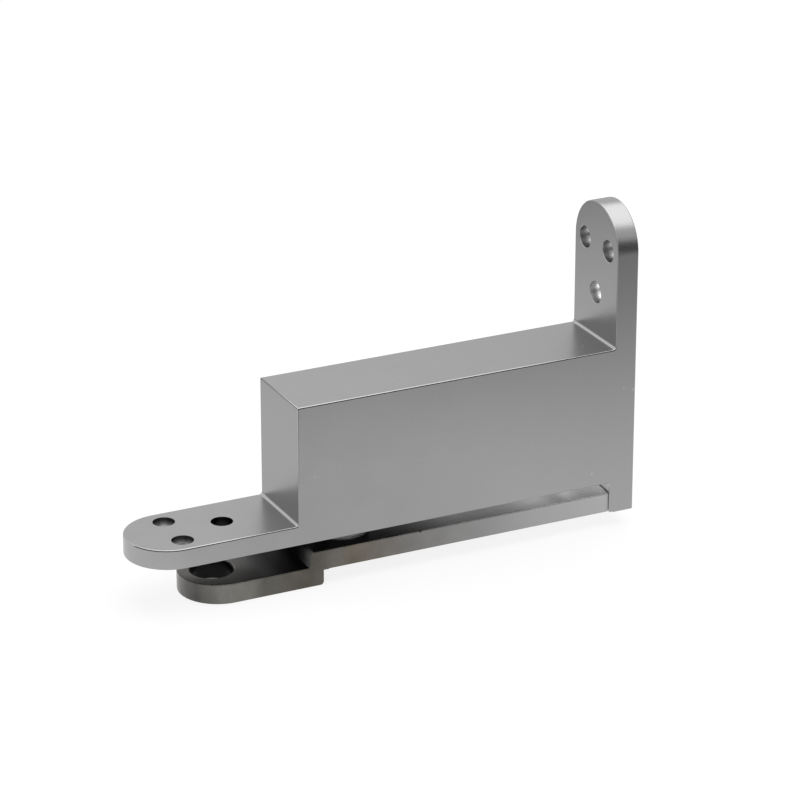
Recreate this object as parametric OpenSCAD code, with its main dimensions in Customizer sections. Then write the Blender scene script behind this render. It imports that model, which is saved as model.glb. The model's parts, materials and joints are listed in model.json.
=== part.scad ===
// Self-closing bottom pivot hinge for a swing door.
// The housing is let into the door's bottom corner. Its tongue screws to the door's bottom edge and
// its tab to the door's hinge-side edge. A cranked arm, fixed on the spindle, stays on the floor.
// Origin: axis of the arm's floor bore, at floor level. +X runs towards the tab, +Z is up.

/* [Housing block] */
// Length of the block, from its free end to the tab
block_l = 118; // [105:1:140]
// Width of the housing, which is also the width of the tongue and the tab
housing_w = 30; // [29:0.5:36]
// Height of the block, from its underside to its top
block_h = 49; // [47:0.5:58]
// Rounding of the outer edges
edge_r = 0.5; // [0.3:0.1:0.8]
// Fillet where the tongue and the tab meet the block
fillet_r = 1.1; // [0.6:0.1:2]

/* [Tongue and tab] */
// Thickness of the tongue
tongue_t = 7; // [5:0.5:9]
// Reach of the tongue from the block to its round tip
tongue_l = 55; // [48:1:70]
// Thickness of the tab and of the end plate below it
tab_t = 8; // [7:0.5:10]
// Height of the tab above the block's top
tab_h = 48; // [42:1:60]
// Diameter of the screw holes
screw_d = 7.5; // [5:0.5:8]
// Diameter of the countersinks
sink_d = 11.5; // [10:0.5:12.5]
// Depth of the straight pocket over each countersunk head
pocket_depth = 2.1; // [1:0.1:2.2]
// Chamfer round the holes on the tab's inner face
rim_chamfer = 0.2; // [0.1:0.1:1]
// Distance between the two holes of a pair
pair_gap = 16; // [14:0.5:17]
// From the tongue's tip to its pair of holes
tongue_pair_in = 16.6; // [14:0.2:18]
// From the tab's top to its pair of holes
tab_pair_in = 15; // [13:0.5:18]
// From a pair of holes to the single hole
single_in = 17.4; // [15:0.2:19]

/* [Arm] */
// Width of the arm
arm_w = 28; // [24:0.5:28.5]
// Thickness of the arm's plate
arm_t = 7; // [5:0.5:8]
// Height of the crank between the foot and the upper level
crank_h = 5.4; // [4.6:0.2:7]
// Width of the crank's web along the arm
crank_t = 4.7; // [4:0.1:6.5]
// From the floor bore to the crank's outer face
crank_x = 34.4; // [32:0.2:35.4]
// Diameter of the floor bore
floor_d = 14.4; // [12:0.2:16]
// From the floor bore to the centre of the foot's round end
foot_centre_x = 2.5; // [0:0.1:4]
// Chamfer round the mouth of the floor bore
bore_chamfer = 0.5; // [0.3:0.1:1]
// From the floor bore to the spindle
floor_to_spindle = 47; // [46:0.5:56]
// Gap between the housing's underside and the arm
run_gap = 4; // [3.5:0.1:5]
// Gap between the arm's tail and the end plate
tail_gap = 0.15; // [0.1:0.05:1]
// Rounding of the arm's edges
arm_edge_r = 0.4; // [0.2:0.1:0.6]
// Rounding of the crank's two outer corners
crank_r = 1.4; // [1:0.1:2]
// Fillet in the corner above the foot
crank_fillet = 0.6; // [0.3:0.1:1]

/* [Cylinder and piston] */
// From the block's free end to the spindle
spindle_in = 22; // [20:0.5:26]
// Diameter of the cylinder bore
bore_d = 22; // [21.5:0.1:22.6]
// Wall at the blind end of the cylinder
end_wall = 5; // [4:0.5:6]
// Radial clearance of sliding and turning parts
slide_gap = 0.04; // [0.02:0.01:0.08]
// Radial clearance of fixed parts in their seats
seat_gap = 0.02; // [0.01:0.01:0.05]
// Length of the piston's head
head_l = 12; // [10:0.5:14]
// Gap between the pinion's tips and the piston's head
head_gap = 1; // [0.6:0.1:2]
// Free length left of the piston when the door is shut
end_gap = 1; // [0.6:0.1:2]
// Width of the piston ring
ring_w = 2.5; // [2:0.1:3]
// Depth of the piston ring's groove
ring_depth = 1.6; // [1.2:0.1:2]

/* [Pinion] */
// Module of the pinion and the rack
gear_module = 1; // [1:0.01:1.05]
// Number of pinion teeth
pinion_teeth = 10; // [10:1:11]
// Pressure angle of the teeth
press_angle = 20; // [20:0.5:22]
// Profile shift, in modules
profile_shift = 0.5; // [0.4:0.02:0.5]
// Addendum of the pinion above its shifted pitch line, in modules
pinion_addendum = 0.8; // [0.7:0.05:0.9]
// Addendum of the rack, in modules
rack_addendum = 1; // [0.9:0.05:1]
// Dedendum of both, in modules
dedendum = 1.25; // [1.2:0.05:1.3]
// Play between the teeth, measured at the pitch line
backlash = 0.12; // [0.06:0.02:0.2]
// Gap between the pinion's tips and the piston's plain guide bar
guide_gap = 0.5; // [0.3:0.1:1]
// Gap between each end of the pinion and the cylinder wall, at the wall's lowest and highest line
pinion_end_gap = 0.4; // [0.3:0.1:0.6]

/* [Spindle and bearings] */
// Diameter of the spindle's lower journal
journal_d = 12; // [11.5:0.1:12.2]
// Diameter of the spindle's upper journal
upper_journal_d = 10; // [9:0.2:11]
// Wall of the bearing bushes
bush_t = 1.5; // [1.2:0.1:1.8]
// Metal left above the upper bearing
top_wall = 4; // [3:0.5:5]
// Side of the square end that drives the arm
square_af = 8.4; // [7.6:0.1:8.4]
// Diameter of the threaded part of the bearing collar
collar_d = 17.5; // [17.3:0.1:18]
// Diameter of the collar's flange
flange_d = 19.5; // [19:0.1:22]
// Thickness of the gasket under the flange
gasket_t = 0.5; // [0.3:0.1:0.8]
// Thickness of the thrust washer between the collar and the arm
washer_t = 1; // [0.8:0.1:1.5]
// Thickness of the spindle's seal ring
seal_d = 1.5; // [1.4:0.05:1.7]

/* [Arm bolt] */
// Nominal diameter of the arm bolt
bolt_d = 6; // [5:0.5:6]
// Length of the arm bolt under its head
bolt_l = 20; // [16:1:22]
// Diameter of the bolt's head
bolt_head_d = 11; // [10:0.5:12]
// Height of the bolt's head
bolt_head_h = 2.4; // [2:0.1:2.8]
// Width across the corners of the bolt's hexagon socket
bolt_hex_d = 4.6; // [3.6:0.1:5.2]
// Depth of the bolt's hexagon socket
bolt_hex_depth = 1.4; // [1:0.1:1.6]
// Thickness of the washer under the bolt's head
bolt_washer_t = 1; // [0.8:0.1:1.2]
// How far that washer reaches past the bolt
bolt_washer_rim = 4; // [3:0.5:5]

/* [Closing spring] */
// Wire diameter of the closing spring
wire_d = 3; // [2.6:0.1:3.2]
// Number of active turns
active_turns = 10; // [8:1:11]
// Gap between the spring and the cylinder wall
spring_gap = 0.7; // [0.4:0.1:1]
// Thickness of the plate between the spring and the end plug
plate_t = 2.5; // [2:0.5:3]

/* [End plug and valves] */
// Diameter of the end plug's thread
plug_d = 24; // [23.6:0.2:24.4]
// Length of the end plug's thread
plug_thread_l = 7; // [6:0.5:8]
// Length of the end plug's sealing nose
plug_nose_l = 4; // [3.5:0.5:5]
// Section diameter of the end plug's seal ring
plug_seal_d = 1.8; // [1.6:0.1:1.9]
// Width across the corners of the end plug's hexagon socket
plug_hex_d = 11.5; // [9:0.5:12]
// Depth of the end plug's hexagon socket
plug_hex_depth = 5; // [4:0.5:6]
// How far the plug and the valves sit below the end face
face_recess = 0.5; // [0.3:0.1:1]
// Diameter of a speed valve's thread
valve_d = 5; // [4.6:0.1:5.2]
// Length of a speed valve's thread
valve_thread_l = 7; // [6:0.5:8]
// Diameter of a speed valve's shank
shank_d = 4.4; // [4.2:0.1:4.5]
// Length of a speed valve's shank
shank_l = 5.5; // [5:0.5:6]
// Length of a speed valve's needle
needle_l = 6; // [5.5:0.1:6.5]
// Width across the corners of a valve's hexagon socket
valve_hex_d = 2.9; // [2.4:0.1:3.2]
// Depth of a valve's hexagon socket
valve_hex_depth = 2.6; // [2:0.1:3]
// Section diameter of a speed valve's seal ring
valve_seal_d = 1.1; // [1:0.05:1.2]
// From the housing's side to the axis of each speed valve
valve_in = 5.2; // [4.8:0.1:5.4]
// Depth of the oil gallery below the block's top
gallery_in = 7; // [6.5:0.1:7.5]
// Diameter of the oil galleries and ports
gallery_d = 2; // [1.6:0.1:2.2]

/* [Check valve] */
// Diameter of the check valve's ball
ball_d = 4; // [3.6:0.1:4.4]
// Free travel of the ball
ball_lift = 0.6; // [0.4:0.1:1]
// Thickness of the ring that keeps the ball in
keeper_t = 1; // [0.8:0.1:1.5]

/* [Hidden] */

$fn = 96;
eps = 0.01;
over = 1;                 // how far a cutting tool runs past a face
arc_steps = 4;            // flats in a rounded edge
flank_steps = 6;          // flats in a tooth flank
ring_sides = 8;           // sides of the spring wire
turn_steps = 18;          // rings in a turn of the spring
spring_steel = [0.42, 0.43, 0.45];
satin_chrome = [0.64, 0.64, 0.64];
plain_steel = [0.46, 0.45, 0.43];
bright_steel = [0.7, 0.7, 0.72];
bronze = [0.66, 0.5, 0.3];
seal_black = [0.08, 0.08, 0.08];

// Levels
upper_z = crank_h;
arm_top = upper_z + arm_t;
under_z = arm_top + run_gap;
block_top = under_z + block_h;
tongue_top = under_z + tongue_t;
tab_top = block_top + tab_h;
end_r = housing_w / 2;
sink_depth = (sink_d - screw_d) / 2;
arm_r = arm_w / 2;

// Places along the hinge
spindle_x = floor_to_spindle;
block_x = spindle_x - spindle_in;
tab_x = block_x + block_l;
end_x = tab_x + tab_t;
tongue_end_x = block_x - tongue_l + end_r;
tongue_pair_x = block_x - tongue_l + tongue_pair_in;
tab_pair_z = tab_top - tab_pair_in;
tail_r = tab_x - spindle_x - tail_gap;

// Cylinder and piston
cyl_r = bore_d / 2;
cyl_z = under_z + block_h / 2;
cyl_x = block_x + end_wall;
piston_r = cyl_r - slide_gap;

// Pinion and rack
pitch_r = gear_module * pinion_teeth / 2;
datum_r = pitch_r + profile_shift * gear_module;
tip_r = datum_r + pinion_addendum * gear_module;
root_r = datum_r - dedendum * gear_module;
base_r = pitch_r * cos(press_angle);
rack_tip = datum_r - rack_addendum * gear_module;
rack_root = datum_r + dedendum * gear_module;
tooth_pitch = PI * gear_module;
tooth_thick = gear_module * (PI / 2 + 2 * profile_shift * tan(press_angle)) - backlash;
pinion_half = cyl_r - pinion_end_gap;
fork_x = cyl_x + end_gap;
head_x = spindle_x + tip_r + head_gap;
head_end = head_x + head_l;
guide_y = tip_r + guide_gap;
ring_x = head_x + (head_l - ring_w) / 2;

// Spindle, collar and bearings
journal_r = journal_d / 2;
upper_r = upper_journal_d / 2;
collar_r = collar_d / 2;
flange_r = flange_d / 2;
flange_z = arm_top + washer_t;
flange_top = under_z - gasket_t;
lower_bush_top = cyl_z - cyl_r - 0.1;
seal_z = under_z + 1;
seal_slot = seal_d + 0.2;
lower_bush_z = seal_z + seal_slot + 0.8;
upper_bush_z = cyl_z + cyl_r + 0.2;
upper_bush_top = block_top - top_wall - 0.5;
upper_seat_r = upper_r + slide_gap + bush_t + seat_gap;
lower_seat_r = journal_r + slide_gap + bush_t + seat_gap;

// End plug, spring and valves
plug_face = end_x - face_recess;
plug_nose_x = plug_face - plug_thread_l;
plug_x = plug_nose_x - plug_nose_l;
plate_x = plug_x - plate_t;
spring_mean_r = cyl_r - spring_gap - wire_d / 2;
gallery_z = block_top - gallery_in;
valve_y = end_r - valve_in;
shank_x = plug_face - valve_thread_l;
needle_x = shank_x - shank_l;
needle_tip_x = needle_x - needle_l;
seat_x = needle_tip_x + 0.8;
return_x = (needle_tip_x + needle_x) / 2;
latch_x = fork_x + 2;
sweep_x = head_x + 2.2;

// Check valve
ball_seat_r = ball_d * 0.36;
ball_room_r = ball_d / 2 + 0.4;
keeper_x = head_x + 0.4;
ball_x = keeper_x + keeper_t + ball_lift + ball_d / 2;

// Points of a rectangle from (x0, y0) to (x1, y1) with rounded corners
function rounded(x0, y0, x1, y1, r) = [
    for (corner = [0:3])
        let (cx = corner == 0 || corner == 3 ? x1 - r : x0 + r,
             cy = corner < 2 ? y1 - r : y0 + r)
        for (i = [0:arc_steps])
            let (a = 90 * (corner + i / arc_steps))
            [cx + r * cos(a), cy + r * sin(a)]
];

// Half of that outline, right of the axis, for turning: a disc of radius r1 from z0 to z1
function disc_outline(r1, z0, z1, r) = concat(
    [[0, z0]],
    [for (i = [0:arc_steps]) let (a = -90 + 90 * i / arc_steps) [r1 - r + r * cos(a), z0 + r + r * sin(a)]],
    [for (i = [0:arc_steps]) let (a = 90 * i / arc_steps) [r1 - r + r * cos(a), z1 - r + r * sin(a)]],
    [[0, z1]]
);

// A bar along X with a rounded section
module bar_x(x0, x1, half_w, z0, z1, r) {
    translate([x0, 0, 0])
        rotate([90, 0, 90])
            linear_extrude(x1 - x0) polygon(rounded(-half_w, z0, half_w, z1, r));
}

// A flat plate along X with one round end at x0: its section is turned at the end and drawn along the rest
module tongue_plate(x0, x1, half_w, z0, z1, r) {
    translate([x0, 0, 0]) rotate([0, 0, 90]) rotate_extrude(angle = 180)
        polygon(disc_outline(half_w, z0, z1, r));
    bar_x(x0, x1, half_w, z0, z1, r);
}

// A round hole or pin along Z
module round_z(x, y, z0, z1, r) {
    translate([x, y, z0]) cylinder(h = z1 - z0, r = r);
}

// A round hole or pin along X
module round_x(x0, x1, y, z, r) {
    translate([x0, y, z]) rotate([0, 90, 0]) cylinder(h = x1 - x0, r = r);
}

// A plain ring along Z
module ring_z(z0, z1, r_in, r_out) {
    translate([spindle_x, 0, z0])
        difference() {
            cylinder(h = z1 - z0, r = r_out);
            translate([0, 0, -over]) cylinder(h = z1 - z0 + 2 * over, r = r_in);
        }
}

// A solid turned about an axis along X: points are (distance along X, radius)
module turned_x(y, z, points) {
    translate([0, y, z])
        rotate([0, 90, 0])
            rotate_extrude() polygon([for (p = points) [p[1], p[0]]]);
}

// A seal ring of round section about an axis along X
module seal_x(x, y, z, mid_r, section_r) {
    translate([x, y, z])
        rotate([0, 90, 0])
            rotate_extrude() translate([mid_r, 0]) circle(r = section_r, $fn = 32);
}

// A concave fillet along Y between an upright face at x, facing -X, and a flat top at z.
// Its two ends are rounded like the edges that they join: the cutter flares out there.
module fillet_y(x, z) {
    flare = [for (i = [0:arc_steps]) let (a = 90 * i / arc_steps)
        [fillet_r + edge_r - edge_r * cos(a), end_r - edge_r + edge_r * sin(a)]];
    half = concat([[0, 0], [fillet_r, 0]], flare, [[fillet_r + edge_r, end_r + over], [0, end_r + over]]);
    difference() {
        translate([x - fillet_r, -end_r, z - edge_r])
            cube([fillet_r + edge_r, housing_w, fillet_r + edge_r]);
        for (side = [-1, 1])
            translate([x - fillet_r, 0, z + fillet_r])
                rotate([-90 * side, 0, 0])
                    rotate_extrude() polygon(half);
    }
}

// A screw hole along Z: through hole, countersink, and a pocket for the head on the underside
module screw_hole_z(x, y) {
    round_z(x, y, under_z - over, tongue_top + over, screw_d / 2);
    round_z(x, y, under_z - over, under_z + pocket_depth, sink_d / 2);
    translate([x, y, under_z + pocket_depth - eps])
        cylinder(h = sink_depth, r1 = sink_d / 2, r2 = screw_d / 2);
}

// A screw hole along X, with its head pocket on the outer face and a small chamfer on the inner one
module screw_hole_x(y, z) {
    round_x(tab_x - over, end_x + over, y, z, screw_d / 2);
    round_x(end_x - pocket_depth, end_x + over, y, z, sink_d / 2);
    translate([end_x - pocket_depth - sink_depth + eps, y, z])
        rotate([0, 90, 0]) cylinder(h = sink_depth, r1 = screw_d / 2, r2 = sink_d / 2);
    translate([tab_x - eps, y, z])
        rotate([0, 90, 0]) cylinder(h = rim_chamfer, r1 = screw_d / 2 + rim_chamfer, r2 = screw_d / 2);
}

// A slanted oil port from a gallery down to the top of the cylinder
module port(x, side) {
    exit_y = 2.5;
    exit_z = cyl_z + sqrt(cyl_r * cyl_r - exit_y * exit_y);
    dy = valve_y - exit_y;
    dz = gallery_z - exit_z;
    translate([x, side * valve_y, gallery_z])
        rotate([180 - side * atan2(dy, dz), 0, 0])
            cylinder(h = sqrt(dy * dy + dz * dz) + 1.2, r = gallery_d / 2);
}

// The bore for one speed valve, and its gallery as far as x
module valve_bore(side, x) {
    y = side * valve_y;
    round_x(shank_x - 0.5, end_x + over, y, gallery_z, valve_d / 2 + slide_gap);
    round_x(seat_x + 1.4, end_x, y, gallery_z, shank_d / 2 + slide_gap);
    translate([seat_x, y, gallery_z])
        rotate([0, 90, 0]) cylinder(h = 1.4 + eps, r1 = gallery_d / 2, r2 = shank_d / 2 + slide_gap);
    round_x(x - gallery_d / 2, seat_x + eps, y, gallery_z, gallery_d / 2);
    port(return_x, side);
    port(x, side);
}

module block() {
    intersection() {
        bar_x(block_x, end_x - edge_r, end_r, under_z, block_top, edge_r);
        translate([0, end_r, 0])
            rotate([90, 0, 0])
                linear_extrude(housing_w)
                    polygon(rounded(block_x, under_z - 2 * edge_r, end_x + over, block_top, edge_r));
        translate([0, 0, under_z - over])
            linear_extrude(block_h + 2 * over)
                polygon(rounded(block_x, -end_r, end_x + over, end_r, edge_r));
    }
}

// The tab and, in one piece with it, the end plate that reaches down beside the arm's tail
module end_plate() {
    round_z0 = tab_top - end_r;
    intersection() {
        translate([0, 0, upper_z])
            linear_extrude(round_z0 - upper_z) polygon(rounded(tab_x, -end_r, end_x, end_r, edge_r));
        translate([0, end_r, 0])
            rotate([90, 0, 0])
                linear_extrude(housing_w)
                    polygon(rounded(tab_x, upper_z, end_x, tab_top, edge_r));
    }
    translate([0, 0, round_z0])
        rotate([0, 90, 0])
            rotate([0, 0, 90])
                rotate_extrude(angle = 180) polygon(disc_outline(end_r, tab_x, end_x, edge_r));
}

// The corners beside the arm's tail: the end plate's inner face is an arc about the spindle
module tail_corners() {
    arc_r = tail_r + tail_gap;
    depth = arc_r - sqrt(arc_r * arc_r - end_r * end_r);
    top_z = under_z + 2;
    difference() {
        bar_x(tab_x - depth, tab_x + edge_r + 1, end_r, upper_z, top_z, edge_r);
        round_z(spindle_x, 0, upper_z - over, top_z + over, arc_r);
    }
}

module housing() {
    color(satin_chrome)
        difference() {
            union() {
                tongue_plate(tongue_end_x, block_x + 2, end_r, under_z, tongue_top, edge_r);
                block();
                end_plate();
                tail_corners();
                fillet_y(block_x, tongue_top);
                fillet_y(tab_x, block_top);
            }
            for (side = [-1, 1]) {
                screw_hole_z(tongue_pair_x, side * pair_gap / 2);
                screw_hole_x(side * pair_gap / 2, tab_pair_z);
            }
            screw_hole_z(tongue_pair_x + single_in, 0);
            screw_hole_x(0, tab_pair_z - single_in);
            round_x(cyl_x, plug_nose_x + eps, 0, cyl_z, cyl_r);
            round_x(plug_nose_x, end_x + over, 0, cyl_z, plug_d / 2 + seat_gap);
            round_z(spindle_x, 0, under_z - over, cyl_z, collar_r + seat_gap);
            round_z(spindle_x, 0, cyl_z, upper_bush_top + 0.5, upper_seat_r);
            valve_bore(-1, sweep_x);
            valve_bore(1, latch_x);
        }
}

// Side view of the crank's web, with its rounded outer corners and the fillet above the foot
module crank() {
    inner_x = crank_x - crank_t;
    corner = [for (i = [0:arc_steps]) let (a = 180 - 90 * i / arc_steps)
        [inner_x + crank_r + crank_r * cos(a), arm_top - crank_r + crank_r * sin(a)]];
    toe = [for (i = [0:arc_steps]) let (a = 90 * i / arc_steps)
        [crank_x - crank_r + crank_r * cos(a), crank_r - crank_r * sin(a)]];
    fillet = [for (i = [0:arc_steps]) let (a = 270 + 90 * i / arc_steps)
        [inner_x - crank_fillet + crank_fillet * cos(a), arm_t + crank_fillet + crank_fillet * sin(a)]];
    outline = concat(
        [[inner_x - crank_fillet, arm_edge_r]],
        fillet,
        corner,
        [[crank_x + 2, arm_top], [crank_x + 2, upper_z], [crank_x, upper_z]],
        toe,
        [[inner_x - crank_fillet, 0]]
    );
    intersection() {
        translate([0, arm_r, 0]) rotate([90, 0, 0]) linear_extrude(arm_w) polygon(outline);
        bar_x(inner_x - 2 * crank_r, crank_x + 3, arm_r, 0, arm_top, arm_edge_r);
    }
}

module arm() {
    color(plain_steel)
        difference() {
            union() {
                tongue_plate(foot_centre_x, crank_x - crank_t + 1, arm_r, 0, arm_t, arm_edge_r);
                crank();
                intersection() {
                    bar_x(crank_x, spindle_x + tail_r + over, arm_r, upper_z, arm_top, arm_edge_r);
                    translate([spindle_x, 0, 0])
                        rotate_extrude() polygon(disc_outline(tail_r, upper_z, arm_top, arm_edge_r));
                }
            }
            round_z(0, 0, -over, arm_t + over, floor_d / 2);
            translate([0, 0, arm_t - bore_chamfer])
                cylinder(h = bore_chamfer + eps, r1 = floor_d / 2, r2 = floor_d / 2 + bore_chamfer + eps);
            translate([spindle_x, 0, upper_z + arm_t / 2])
                cube([square_af, square_af, arm_t + 2 * over], center = true);
        }
}

// Roll angle of an involute at angle a, in degrees
function roll(a) = tan(a) * 180 / PI - a;

// Half angle that a pinion tooth fills at radius r
function half_tooth(r) =
    tooth_thick / pitch_r * 90 / PI + roll(press_angle) - (r > base_r ? roll(acos(base_r / r)) : 0);

// One side of a pinion tooth, from inside its root to its tip
function flank() = concat(
    [[root_r - 0.4, half_tooth(base_r)]],
    [for (i = [0:flank_steps])
        let (r = base_r + (tip_r - base_r) * i / flank_steps) [r, half_tooth(r)]]
);

module pinion_tooth() {
    side = flank();
    last = len(side) - 1;
    polygon(concat(
        [for (p = side) [p[0] * cos(p[1]), p[0] * sin(p[1])]],
        [for (i = [last:-1:0]) [side[i][0] * cos(side[i][1]), -side[i][0] * sin(side[i][1])]]
    ));
}

// A tooth space points at the rack, towards -Y
module pinion_outline() {
    circle(r = root_r);
    for (i = [0:pinion_teeth - 1])
        rotate(-90 + (i + 0.5) * 360 / pinion_teeth) pinion_tooth();
}

module spindle() {
    color(bright_steel)
        difference() {
            union() {
                translate([spindle_x, 0, cyl_z - pinion_half])
                    linear_extrude(2 * pinion_half) pinion_outline();
                round_z(spindle_x, 0, arm_top, cyl_z - pinion_half + eps, journal_r);
                round_z(spindle_x, 0, cyl_z + pinion_half - eps, upper_bush_top, upper_r);
                translate([spindle_x - square_af / 2, -square_af / 2, upper_z + 0.2])
                    cube([square_af, square_af, arm_t]);
            }
            round_z(spindle_x, 0, upper_z - over, upper_z - bolt_washer_t + bolt_l + 1, bolt_d / 2);
        }
}

module arm_bolt() {
    head_z = upper_z - bolt_washer_t;
    color(bright_steel)
        difference() {
            union() {
                round_z(spindle_x, 0, head_z - eps, head_z + bolt_l, bolt_d / 2 - seat_gap);
                round_z(spindle_x, 0, head_z - bolt_head_h, head_z, bolt_head_d / 2);
            }
            translate([spindle_x, 0, head_z - bolt_head_h - over])
                cylinder(h = bolt_hex_depth + over, d = bolt_hex_d, $fn = 6);
        }
}

module arm_washer() {
    color(bright_steel)
        ring_z(upper_z - bolt_washer_t, upper_z, bolt_d / 2 + 0.2, bolt_d / 2 + bolt_washer_rim);
}

module thrust_washer() {
    color(bright_steel) ring_z(arm_top, flange_z, journal_r + 0.2, flange_r - 0.3);
}

module bearing_collar() {
    wide_r = journal_r + 0.3;
    color(bright_steel)
        difference() {
            union() {
                round_z(spindle_x, 0, flange_z, flange_top, flange_r);
                round_z(spindle_x, 0, flange_top - eps, lower_bush_top, collar_r);
            }
            round_z(spindle_x, 0, flange_z - over, lower_bush_top + over, wide_r);
            round_z(spindle_x, 0, seal_z, seal_z + seal_slot, journal_r + slide_gap + seal_d + seat_gap);
            round_z(spindle_x, 0, lower_bush_z, lower_bush_top + over, lower_seat_r);
            for (a = [45, 225])
                round_z(spindle_x + (wide_r + flange_r) / 2 * cos(a), (wide_r + flange_r) / 2 * sin(a),
                        flange_z - over, flange_top - 0.6, 0.9);
        }
}

module collar_gasket() {
    color(bronze) ring_z(flange_top, under_z, collar_r + 0.1, flange_r - 0.1);
}

module spindle_seal() {
    color(seal_black)
        translate([spindle_x, 0, seal_z + seal_slot / 2])
            rotate_extrude() translate([journal_r + slide_gap + seal_d / 2, 0]) circle(d = seal_d, $fn = 32);
}

module lower_bearing() {
    color(bronze) ring_z(lower_bush_z, lower_bush_top, journal_r + slide_gap, journal_r + slide_gap + bush_t);
}

module upper_bearing() {
    color(bronze) ring_z(upper_bush_z, upper_bush_top, upper_r + slide_gap, upper_r + slide_gap + bush_t);
}

// The rack, seen from above: a bar from y = -cyl_r to the tooth tips, with its teeth in the pinion's spaces
module rack_outline() {
    tip_half = tooth_pitch / 4 - rack_addendum * gear_module * tan(press_angle);
    root_half = tooth_pitch / 4 + dedendum * gear_module * tan(press_angle);
    first = -floor((spindle_x - fork_x) / tooth_pitch);
    teeth = [for (k = [first:1]) spindle_x + k * tooth_pitch];
    polygon(concat(
        [[fork_x, -cyl_r], [fork_x, -rack_root]],
        [for (x = teeth) each [
            [x - root_half, -rack_root], [x - tip_half, -rack_tip],
            [x + tip_half, -rack_tip], [x + root_half, -rack_root]
        ]],
        [[spindle_x + 2 * tooth_pitch - root_half, -rack_root],
         [spindle_x + 2 * tooth_pitch - tip_half, -rack_tip],
         [head_x + over, -rack_tip], [head_x + over, -cyl_r]]
    ));
}

module rack_piston() {
    color(plain_steel)
        difference() {
            intersection() {
                round_x(fork_x, head_end, 0, cyl_z, piston_r);
                translate([0, 0, cyl_z - cyl_r]) {
                    linear_extrude(bore_d) rack_outline();
                    translate([fork_x, guide_y, 0]) cube([head_x - fork_x + over, cyl_r - guide_y, bore_d]);
                    translate([head_x, -cyl_r, 0]) cube([head_l, bore_d, bore_d]);
                }
            }
            difference() {
                round_x(ring_x, ring_x + ring_w, 0, cyl_z, cyl_r + over);
                round_x(ring_x - over, ring_x + ring_w + over, 0, cyl_z, piston_r - ring_depth);
            }
            turned_x(0, cyl_z, [
                [head_x - over, 0], [head_x - over, ball_room_r], [ball_x, ball_room_r],
                [ball_x + ball_room_r - ball_seat_r + 0.6, ball_seat_r], [head_end + over, ball_seat_r],
                [head_end + over, 0]
            ]);
        }
}

module piston_ring() {
    color(seal_black)
        difference() {
            round_x(ring_x + seat_gap, ring_x + ring_w - seat_gap, 0, cyl_z, cyl_r - slide_gap / 2);
            round_x(ring_x - over, ring_x + ring_w + over, 0, cyl_z, piston_r - ring_depth + seat_gap);
        }
}

module check_ball() {
    color(bright_steel) translate([ball_x, 0, cyl_z]) sphere(d = ball_d);
}

module ball_keeper() {
    color(bronze)
        difference() {
            round_x(keeper_x, keeper_x + keeper_t, 0, cyl_z, ball_room_r - seat_gap);
            round_x(keeper_x - over, keeper_x + keeper_t + over, 0, cyl_z, ball_d * 0.3);
        }
}

// Height of the spring's centre line after t turns: closed end turns, evenly open turns between
function spring_rise(t, turns, length) =
    let (closed = wire_d * 1.04,
         open = (length - 2 * closed) / (turns - 2))
    t < 1 ? t * closed
    : t > turns - 1 ? length - (turns - t) * closed
    : closed + (t - 1) * open;

module closing_spring() {
    length = plate_x - head_end;
    turns = active_turns + 2;
    rings = turns * turn_steps;
    points = [
        for (i = [0:rings])
            let (t = i / turn_steps, a = 360 * t, x = spring_rise(t, turns, length))
            for (j = [0:ring_sides - 1])
                let (b = 360 * (j + 0.5) / ring_sides, r = spring_mean_r + wire_d / 2 * cos(b))
                [x + wire_d / 2 * sin(b), r * cos(a), r * sin(a)]
    ];
    walls = [
        for (i = [0:rings - 1])
            for (j = [0:ring_sides - 1])
                let (k = (j + 1) % ring_sides,
                     p = i * ring_sides + j, q = i * ring_sides + k,
                     s = p + ring_sides, u = q + ring_sides)
                each [[p, s, u], [p, u, q]]
    ];
    first_cap = [[for (j = [0:ring_sides - 1]) j]];
    last_cap = [[for (j = [ring_sides - 1:-1:0]) rings * ring_sides + j]];
    color(spring_steel)
        translate([head_end, 0, cyl_z])
            intersection() {
                polyhedron(points, concat(walls, first_cap, last_cap));
                rotate([0, 90, 0]) cylinder(h = length, r = cyl_r);
            }
}

// A disc behind the spring, with a spigot inside its end turns
module spring_plate() {
    spigot_r = spring_mean_r - wire_d / 2 - 0.4;
    color(plain_steel)
        turned_x(0, cyl_z, [
            [plate_x - wire_d, 0], [plate_x - wire_d, spigot_r - 1], [plate_x - wire_d + 1, spigot_r],
            [plate_x, spigot_r], [plate_x, cyl_r - 0.2], [plug_x, cyl_r - 0.2], [plug_x, 0]
        ]);
}

module end_plug() {
    slot = plug_seal_d + 0.4;
    slot_x = plug_x + (plug_nose_l - slot) / 2;
    slot_r = cyl_r - plug_seal_d - 2 * seat_gap;
    color(bright_steel)
        difference() {
            turned_x(0, cyl_z, [
                [plug_x, 0], [plug_x, cyl_r - slide_gap], [slot_x, cyl_r - slide_gap], [slot_x, slot_r],
                [slot_x + slot, slot_r], [slot_x + slot, cyl_r - slide_gap],
                [plug_nose_x, cyl_r - slide_gap], [plug_nose_x, plug_d / 2],
                [plug_face - 0.6, plug_d / 2], [plug_face, plug_d / 2 - 0.6], [plug_face, 0]
            ]);
            translate([plug_face - plug_hex_depth, 0, cyl_z])
                rotate([0, 90, 0]) cylinder(h = plug_hex_depth + over, d = plug_hex_d, $fn = 6);
        }
}

module end_plug_seal() {
    color(seal_black)
        seal_x(plug_x + plug_nose_l / 2, 0, cyl_z, cyl_r - plug_seal_d / 2 - seat_gap, plug_seal_d / 2);
}

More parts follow.
